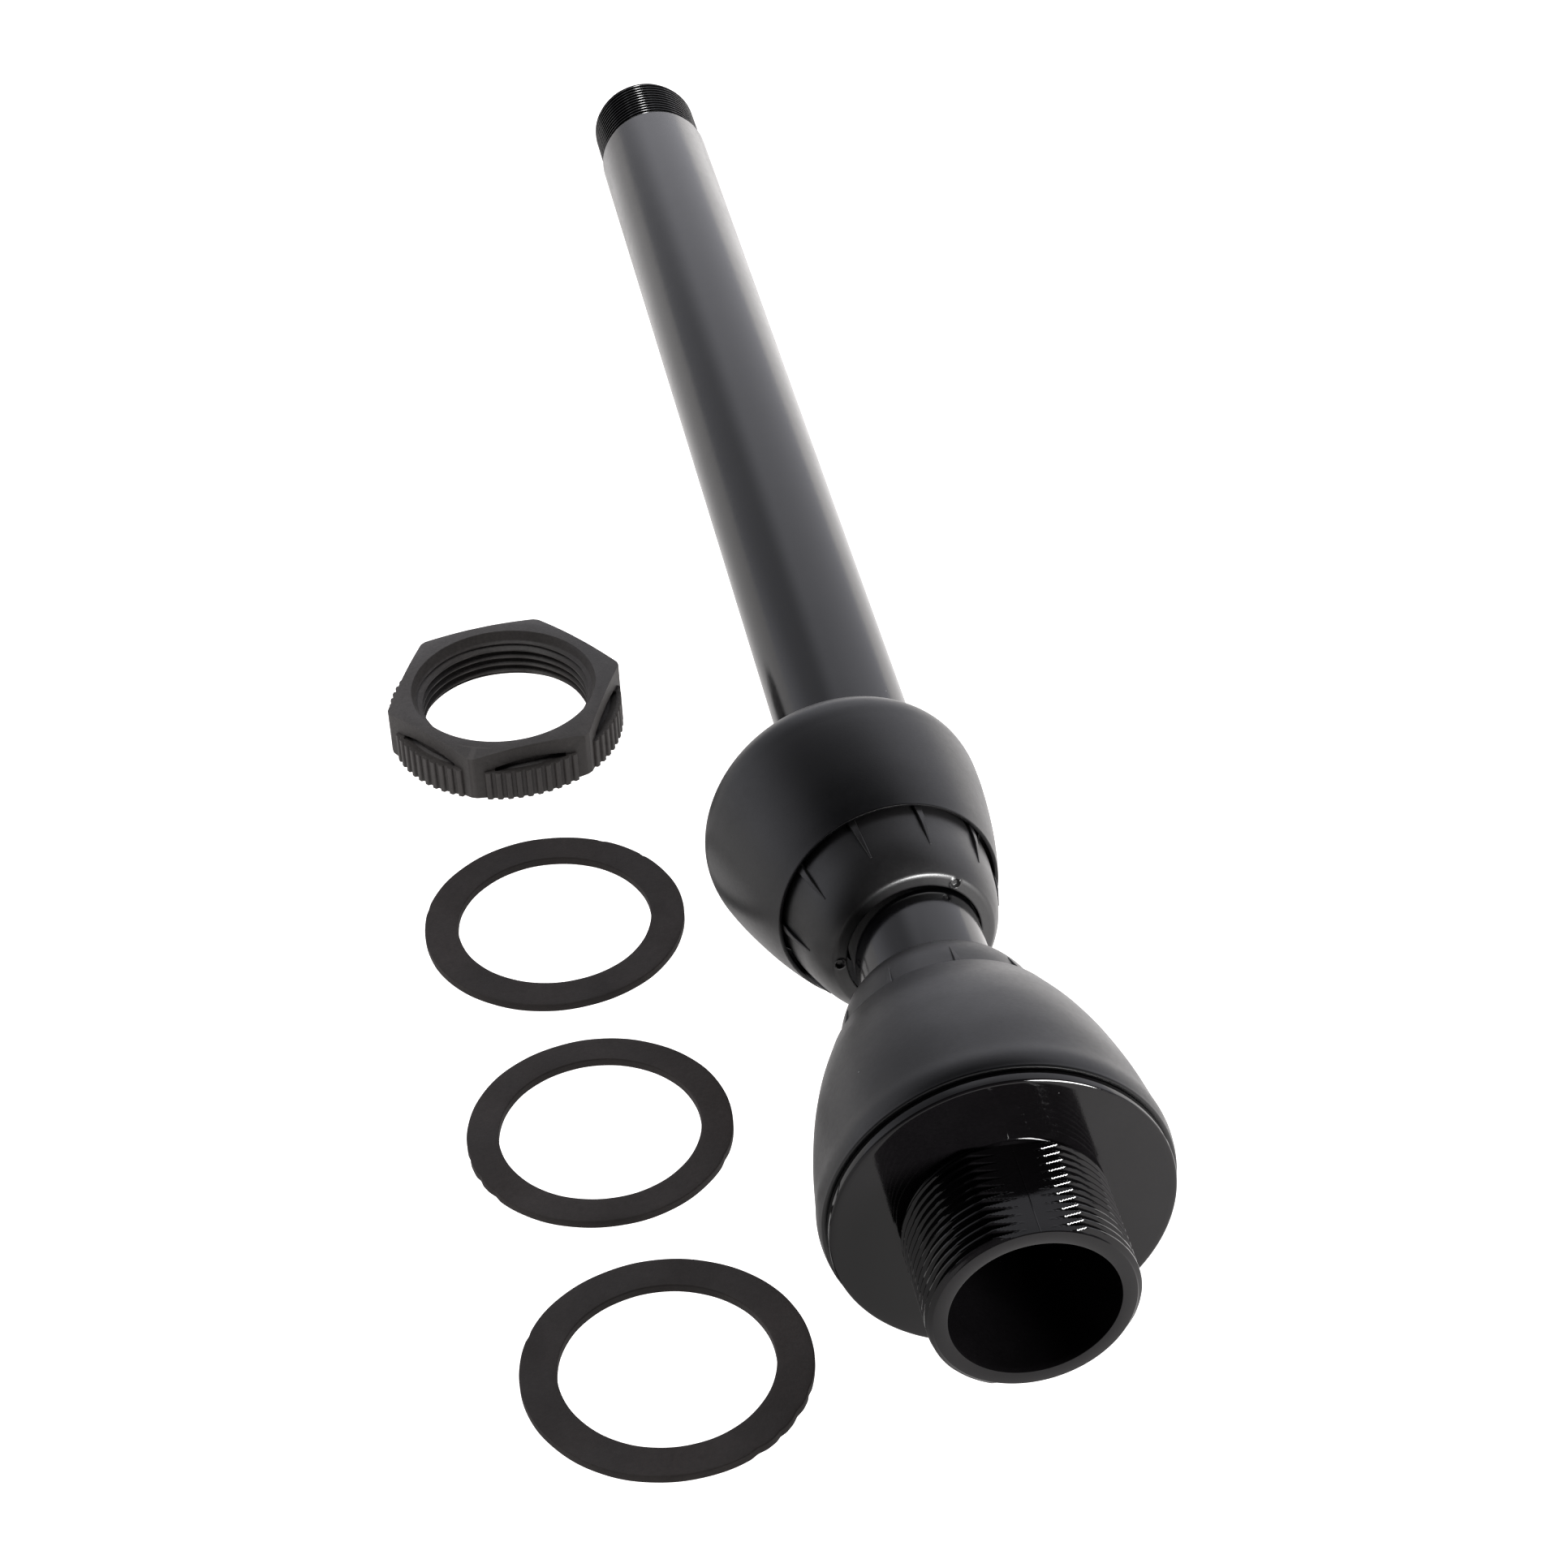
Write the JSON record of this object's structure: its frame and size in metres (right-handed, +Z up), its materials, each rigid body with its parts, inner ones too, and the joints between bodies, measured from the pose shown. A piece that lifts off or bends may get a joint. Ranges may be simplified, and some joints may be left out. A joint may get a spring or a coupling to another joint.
{
  "type": "standpipe fill valve with tank flange, sliding bell, locknut and washers",
  "caption": "Straight standpipe on a threaded tank flange with a bell cover, a loose bell that slides and tilts on the pipe, and a separate hex locknut with flat washers.",
  "frame": {"origin": "centre of the footprint of the laid-out parts, on the floor they lie on", "axes": "+Z up from the floor; +Y parallel to the axis of the threaded stub, from the flange towards the pipe's threaded tip; +X to the right, away from the loose nut and washers"},
  "size_m": [0.135, 0.5104, 0.0719],
  "materials": {
    "gloss_black": "glossy moulded black plastic",
    "satin_black": "satin moulded black plastic",
    "seat_plastic": "dull dark slide-bearing plastic",
    "seal_rubber": "matte black rubber",
    "charcoal_nut": "matte brownish charcoal moulded plastic",
    "washer_rubber": "matte die-cut black rubber"
  },
  "bodies": {
    "base": {"threaded_stub_flange": "gloss_black", "lower_bell_shell": "satin_black", "lower_cone_insert": "satin_black", "lower_clip_ring": "satin_black", "lower_face_seal": "seal_rubber"},
    "seat": {"ball_seat_ring": "seat_plastic"},
    "riser": {"riser_ball": "gloss_black", "inner_pipe": "gloss_black", "tube_end_gasket": "seal_rubber", "annulus_o_ring_a": "seal_rubber", "annulus_o_ring_b": "seal_rubber", "riser_tube": "gloss_black", "tip_thread_nipple": "gloss_black"},
    "glide": {"glide_ring": "seat_plastic"},
    "turner": {"swivel_ring": "satin_black"},
    "upper_bell": {"upper_bell_shell": "satin_black", "upper_cone_insert": "satin_black", "upper_clip_ring": "satin_black"},
    "nut": {"locknut": "charcoal_nut"},
    "washer_a": {"flat_washer_a": "washer_rubber"},
    "washer_b": {"flat_washer_b": "washer_rubber"},
    "washer_c": {"flat_washer_c": "washer_rubber"}
  },
  "joints": [
    {"name": "lower_swivel", "type": "hinge", "parent": "base", "child": "seat", "pos_m": [0.03195, -0.17639, 0.03595], "axis": [0, 1, 0], "continuous": true},
    {"name": "lower_tilt", "type": "hinge", "parent": "seat", "child": "riser", "pos_m": [0.03195, -0.17639, 0.03595], "axis": [-0.9756, 0, -0.2195], "range_deg": [-6.5, 0.75]},
    {"name": "bell_slide", "type": "slide", "parent": "riser", "child": "glide", "axis": [0.0111, 0.9987, -0.0491], "range_m": [-0.017, 0.024]},
    {"name": "bell_swivel", "type": "hinge", "parent": "glide", "child": "turner", "pos_m": [0.03195, -0.17639, 0.03595], "axis": [0.0111, 0.9987, -0.0491], "continuous": true},
    {"name": "bell_tilt", "type": "hinge", "parent": "turner", "child": "upper_bell", "pos_m": [0.03192, -0.14566, 0.03444], "axis": [-0.0841, 0.0499, 0.9952], "range_deg": [-16, 0.2]},
    {"name": "nut_lift", "type": "slide", "parent": "base", "child": "nut", "axis": [0, 0, 1], "range_m": [0, 0.05]},
    {"name": "washer_a_lift", "type": "slide", "parent": "base", "child": "washer_a", "axis": [0, 0, 1], "range_m": [0, 0.05]},
    {"name": "washer_b_lift", "type": "slide", "parent": "base", "child": "washer_b", "axis": [0, 0, 1], "range_m": [0, 0.05]},
    {"name": "washer_c_lift", "type": "slide", "parent": "base", "child": "washer_c", "axis": [0, 0, 1], "range_m": [0, 0.05]}
  ]
}
